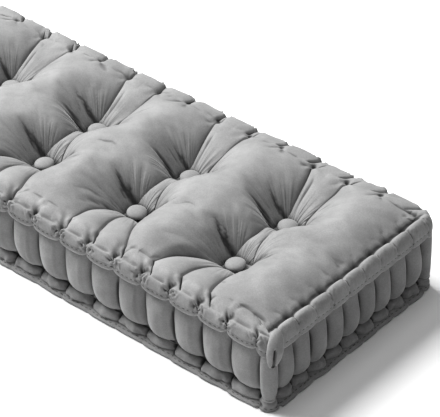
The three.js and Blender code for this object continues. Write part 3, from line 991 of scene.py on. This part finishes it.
class CUSHION_OT_stitches(bpy.types.Operator):
    """Sew stitches along the hems of the top roll and the bottom roll"""

    bl_idname = "cushion.stitches"
    bl_label = "Sew the hem stitches"

    def execute(self, context):
        settings = context.scene.cushion
        sizes = settings.stitches
        lines = hem_lines_object()
        # Spun polyester sewing thread: dull, a little darker than the velvet
        thread = plain_material("spun_polyester_thread", settings.look.thread, 0.7, 0.3)
        tree, sockets = stitch_tree()
        modifier = lines.modifiers.new("hem_stitches", "NODES")
        modifier.node_group = tree
        values = {"Spacing": sizes.spacing, "Stitch": (sizes.stitch, sizes.thread, sizes.thread),
                  "Seed": sizes.seed, "Thread": thread}
        for name, value in values.items():
            modifier[sockets[name]] = value
        sewn = bpy.data.meshes.new_from_object(lines.evaluated_get(context.evaluated_depsgraph_get()))
        lines.modifiers.remove(modifier)
        lines.data = sewn
        finished_piece(lines, COVER_NODE)
        return {"FINISHED"}


def hem_lines_object():
    """An object of two closed lines of edges, on the hems of the top roll and the bottom roll."""
    top, band = bpy.data.objects["top_panel"], bpy.data.objects["side_band"]
    count = (len(band.data.vertices) - 2) // BAND_RINGS
    rings_start = len(top.data.vertices) - 1 - count * ROLL_RINGS
    step = np.arange(count)
    upper = vectors_of(top.data, "co")[rings_start + TOP_HEM_RING * count + step]
    lower = vectors_of(band.data, "co")[FOOT_HEM_RING * count + step]
    line = np.column_stack([step, np.roll(step, -1)])
    edges = np.concatenate([line, line + count])
    mesh = bpy.data.meshes.new("hem_stitches")
    mesh.from_pydata(np.concatenate([upper, lower]).tolist(), edges.tolist(), [])
    lines = bpy.data.objects.new("hem_stitches", mesh)
    bpy.context.scene.collection.objects.link(lines)
    return lines


def stitch_tree():
    """Geometry nodes that set stitches along lines of edges, and their inputs' identifiers by name."""
    tree = bpy.data.node_groups.new("hem_stitches", "GeometryNodeTree")
    kinds = {"Geometry": "Geometry", "Spacing": "Float", "Stitch": "Vector", "Seed": "Int",
             "Thread": "Material"}
    socket = tree.interface.new_socket
    sockets = {name: socket(name, in_out="INPUT", socket_type="NodeSocket" + kind).identifier
               for name, kind in kinds.items()}
    socket("Geometry", in_out="OUTPUT", socket_type="NodeSocketGeometry")
    given = node(tree, "NodeGroupInput")
    line = node(tree, "GeometryNodeMeshToCurve", None, {"Mesh": given.outputs["Geometry"]})
    places = node(tree, "GeometryNodeResampleCurve", {"mode": "LENGTH"},
                  {"Curve": line, "Length": given.outputs["Spacing"]})
    along = node(tree, "GeometryNodeInputTangent")
    turn = node(tree, "FunctionNodeAlignRotationToVector", {"axis": "X"}, {"Vector": along})
    uneven = node(tree, "FunctionNodeRandomValue", {"data_type": "FLOAT", 2: 0.8, 3: 1.1},
                  {"Seed": given.outputs["Seed"]})
    size = node(tree, "ShaderNodeVectorMath", {"operation": "SCALE"},
                {"Vector": given.outputs["Stitch"], "Scale": uneven.outputs[1]})
    stitch = node(tree, "GeometryNodeMeshUVSphere", {"Segments": 6, "Rings": 4, "Radius": 0.5})
    sewn = node(tree, "GeometryNodeInstanceOnPoints", None,
                {"Points": places, "Instance": stitch, "Rotation": turn, "Scale": size})
    real = node(tree, "GeometryNodeRealizeInstances", None, {"Geometry": sewn})
    dyed = node(tree, "GeometryNodeSetMaterial", None,
                {"Geometry": real, "Material": given.outputs["Thread"]})
    node(tree, "NodeGroupOutput", None, {"Geometry": dyed})
    return tree, sockets


class CUSHION_OT_buttons(bpy.types.Operator):
    """Cover the buttons with velvet and set them into the tufting"""

    bl_idname = "cushion.buttons"
    bl_label = "Set the buttons"

    def execute(self, context):
        settings = context.scene.cushion
        plan = cushion_plan(settings)
        cloth = velvet("button_velvet", settings.look.velvet, settings.look.velvet_shade)
        for pair, x in enumerate(plan.pair_x):
            for side, y in (("front", -plan.button_y), ("back", plan.button_y)):
                points, faces = button_mesh(plan, x, y, pair)
                piece = mesh_object(f"covered_button_{side}_{pair + 1}", points, faces, cloth)
                mark_painted_light(piece)
                finished_piece(piece, f"button_{side}_{pair + 1}")
        return {"FINISHED"}


def button_mesh(plan, x, y, pair):
    """Points and faces of one covered button: a low dome with the cloth gathered under its rim."""
    sides, dome_rows, rim_rows = 48, 9, 5
    turn = np.arange(sides) * 2 * np.pi / sides
    radius, height = plan.button_radius, plan.button_dome + 2
    rim = height * 0.45
    tilt = 0.06 * math.sin(3.1 * pair + y)
    rings = []
    for row in range(1, dome_rows + 1):
        angle = row / dome_rows * np.pi / 2
        rings.append((radius * math.sin(angle), rim + (height - rim) * math.cos(angle), 0.0))
    for row in range(1, rim_rows + 1):
        share = row / rim_rows
        rings.append((radius * (1 - 0.35 * share ** 2), rim * (1 - share), 0.5 * share))
    points = [[x, y, plan.seat + height]]
    for ring_radius, ring_z, gather in rings:
        r = ring_radius + gather * np.cos(turn * 12)
        z = plan.seat + ring_z + tilt * r * np.cos(turn)
        points += np.column_stack([x + r * np.cos(turn), y + r * np.sin(turn), z]).tolist()
    faces, last = capped_rings(sides, len(rings))
    faces.append(last[::-1].tolist())
    return points, faces


class CUSHION_OT_stage(bpy.types.Operator):
    """Set the floor, the lights and the camera"""

    bl_idname = "cushion.stage"
    bl_label = "Set the stage"

    def execute(self, context):
        look = context.scene.cushion.look
        corners = [(FLOOR_REACH * x, FLOOR_REACH * y, 0) for x, y in ((-1, -1), (1, -1), (1, 1), (-1, 1))]
        # Matt white studio paint: an even pale ground
        paint = plain_material("studio_floor", look.floor, 0.9, 0.1)
        floor = mesh_object("floor", corners, [(0, 1, 2, 3)], paint)
        world = bpy.data.worlds.new("studio")
        context.scene.world = world
        world.use_nodes = True
        backdrop = world.node_tree.nodes["Background"]
        backdrop.inputs["Color"].default_value = (1, 1, 1, 1)
        backdrop.inputs["Strength"].default_value = look.fill
        for name, (place, size, share) in SOFT_LIGHTS.items():
            soft_light(name, place, size, look.key * share)
        context.scene.view_settings.view_transform = "Standard"
        context.scene.view_settings.look = "High Contrast"
        set_camera(context.scene)
        return {"FINISHED"}


FLOOR_REACH = 6000  # from the middle of the floor to its edges

# Each soft box's place and size in metres, and its power as a share of the key light's
SOFT_LIGHTS = {
    "key": ((-4.4, -0.5, 5.8), 4.6, 1),
    "fill": ((5.0, -3.0, 3.0), 4.0, 0.03),
    "overhead": ((0.5, 0, 6.0), 3.0, 0.08),
}


def soft_light(name, place, size, power):
    """A square soft box that faces the cushion."""
    light = bpy.data.lights.new(name, "AREA")
    light.size = size
    light.energy = power
    lamp = bpy.data.objects.new(name, light)
    direction = Vector((0, 0, 0.1)) - Vector(place)
    lamp.matrix_world = Matrix.Translation(place) @ direction.to_track_quat("-Z", "Y").to_matrix().to_4x4()
    bpy.context.scene.collection.objects.link(lamp)


# The photograph's camera, worked out from the corners, buttons and stitches
CAMERA_AZIMUTH, CAMERA_ELEVATION, CAMERA_ROLL = 41.69, 36.68, -0.95  # degrees
CAMERA_DISTANCE, CAMERA_TARGET = 3.558, (0.1977, 0.1335, 0.0)  # metres
CAMERA_LENS, SENSOR_WIDTH = 180, 36  # millimetres


def set_camera(scene):
    """Looks at the cushion from the photograph's angle."""
    azimuth, elevation, roll = (math.radians(a) for a in (CAMERA_AZIMUTH, CAMERA_ELEVATION, CAMERA_ROLL))
    back = Vector((math.sin(azimuth) * math.cos(elevation), -math.cos(azimuth) * math.cos(elevation),
                   math.sin(elevation)))
    level_right = Vector((math.cos(azimuth), math.sin(azimuth), 0))
    level_up = back.cross(level_right)
    right = level_right * math.cos(roll) + level_up * math.sin(roll)
    up = back.cross(right)
    lens = bpy.data.cameras.new("camera")
    lens.lens = CAMERA_LENS
    lens.sensor_width = SENSOR_WIDTH
    camera = bpy.data.objects.new("camera", lens)
    turn = Matrix((right, up, back)).transposed().to_4x4()
    camera.matrix_world = Matrix.Translation(Vector(CAMERA_TARGET) + back * CAMERA_DISTANCE) @ turn
    scene.collection.objects.link(camera)
    scene.camera = camera


class CUSHION_PG_settings(bpy.types.PropertyGroup):
    """All that a user may change."""

    cover: PointerProperty(type=CUSHION_PG_cover)
    tufting: PointerProperty(type=CUSHION_PG_tufting)
    stitches: PointerProperty(type=CUSHION_PG_stitches)
    look: PointerProperty(type=CUSHION_PG_look)


class CUSHION_PT_panel(bpy.types.Panel):
    """Lists the cushion's sizes and steps"""

    bl_idname = "CUSHION_PT_panel"
    bl_label = "Bench cushion"
    bl_space_type = "VIEW_3D"
    bl_region_type = "UI"
    bl_category = "Cushion"

    def draw(self, context):
        settings = context.scene.cushion
        for group in (settings.cover, settings.tufting, settings.stitches, settings.look):
            box = self.layout.box()
            for name in group.bl_rna.properties.keys():
                if name not in {"rna_type", "name"}:
                    box.prop(group, name)
        for step in STEPS:
            self.layout.operator(step.bl_idname)


STEPS = (CUSHION_OT_cover, CUSHION_OT_ears, CUSHION_OT_stitches, CUSHION_OT_buttons, CUSHION_OT_stage)
GROUPS = (CUSHION_PG_cover, CUSHION_PG_tufting, CUSHION_PG_stitches, CUSHION_PG_look, CUSHION_PG_settings)
CLASSES = (*GROUPS, *STEPS, CUSHION_PT_panel)


def register():
    for item in CLASSES:
        bpy.utils.register_class(item)
    bpy.types.Scene.cushion = PointerProperty(type=CUSHION_PG_settings)


def unregister():
    del bpy.types.Scene.cushion
    for item in reversed(CLASSES):
        bpy.utils.unregister_class(item)


def main():
    register()
    bpy.ops.cushion.cover()
    bpy.ops.cushion.ears()
    bpy.ops.cushion.stitches()
    bpy.ops.cushion.buttons()
    bpy.ops.cushion.stage()


if __name__ == "__main__":
    main()
